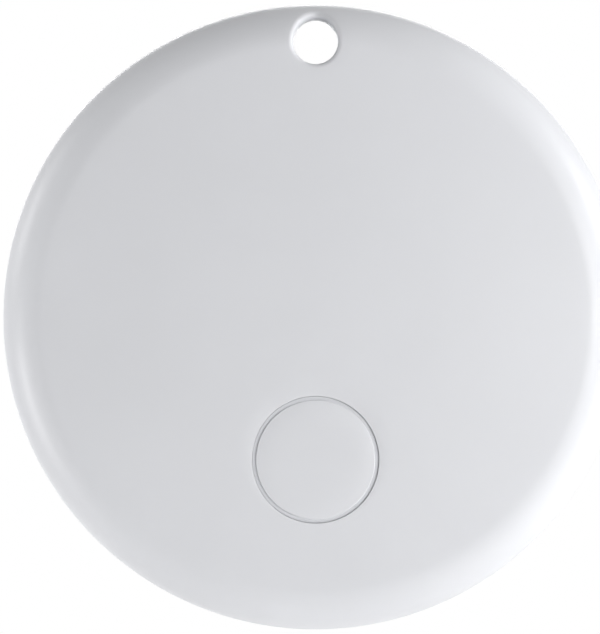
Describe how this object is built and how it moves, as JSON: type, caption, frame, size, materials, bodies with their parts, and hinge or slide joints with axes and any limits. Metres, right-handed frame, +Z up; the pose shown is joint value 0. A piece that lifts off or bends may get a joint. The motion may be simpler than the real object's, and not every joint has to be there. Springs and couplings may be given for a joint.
{
  "type": "bluetooth tracker tag",
  "caption": "Round pocket tracker tag: domed white disc with a cord hole near the rim, a flush push button and a coin-slot battery cover on the back.",
  "frame": {"origin": "middle of the cord hole, on its axis, halfway through the case", "axes": "+Z up as the tag hangs by its cord hole, -Y towards the front face with the button, +X to the right as seen from the front"},
  "size_m": [0.038, 0.0084, 0.038],
  "materials": {
    "case_white": "fine satin moulded texture",
    "cover_white": "fine satin moulded texture",
    "button_white": "fine satin moulded texture",
    "seal_rubber": "smooth",
    "cell_steel": "nickel-plated, finely brushed",
    "gasket_plastic": "translucent natural",
    "cathode_pellet": "pressed powder",
    "separator_paper": "non-woven",
    "lithium_disc": "dull",
    "pad_silicone": "translucent silicone",
    "switch_black": "matt",
    "switch_steel": "bright stamped",
    "plunger_plastic": "matt",
    "board_green": "solder mask",
    "chip_black": "moulded epoxy",
    "crystal_can": "plated lid",
    "antenna_ceramic": "white ceramic",
    "inductor_ferrite": "ferrite",
    "capacitor_tan": "ceramic with tinned ends",
    "resistor_black": "ceramic with tinned ends",
    "pad_gold": "gold flash",
    "tape_foam": "double-sided adhesive ring",
    "sounder_brass": "rolled",
    "sounder_ceramic": "silvered ceramic",
    "contact_gold": "gold-plated spring",
    "contact_steel": "nickel-plated spring"
  },
  "bodies": {
    "case": {"front_shell": "case_white", "rear_shell": "case_white", "cell_can": "cell_steel", "cell_gasket": "gasket_plastic", "cell_cap": "cell_steel", "cell_cathode": "cathode_pellet", "cell_separator": "separator_paper", "cell_lithium": "lithium_disc", "switch_base": "switch_black", "switch_frame": "switch_steel", "switch_dome": "switch_steel", "circuit_board": "board_green", "bluetooth_chip": "chip_black", "main_crystal": "crystal_can", "clock_crystal": "crystal_can", "chip_antenna": "antenna_ceramic", "sounder_driver": "chip_black", "boost_inductor": "inductor_ferrite", "chip_capacitors": "capacitor_tan", "chip_resistors": "resistor_black", "test_pads": "pad_gold", "piezo_tape": "tape_foam", "piezo_plate": "sounder_brass", "piezo_ceramic": "sounder_ceramic", "sounder_contacts": "contact_gold", "negative_contact": "contact_steel", "positive_contact": "contact_steel"},
    "battery_cover": {"battery_cover": "cover_white", "cover_seal": "seal_rubber"},
    "button": {"button_cap": "button_white", "button_pad": "pad_silicone"},
    "plunger": {"switch_plunger": "plunger_plastic"}
  },
  "joints": [
    {"name": "cover_turn", "type": "hinge", "parent": "case", "child": "battery_cover", "pos_m": [0, 0.00425, -0.01672], "axis": [0, 1, 0], "range_deg": [0, 30]},
    {"name": "button_press", "type": "slide", "parent": "case", "child": "button", "axis": [0, 1, 0], "range_m": [0, 0.00025], "stiffness_N_per_m": 4000},
    {"name": "plunger_press", "type": "slide", "parent": "case", "child": "plunger", "axis": [0, 1, 0], "range_m": [0, 0.00025]}
  ],
  "couplings": [
    {"joint": "plunger_press", "follows": "button_press", "ratio": 1}
  ]
}
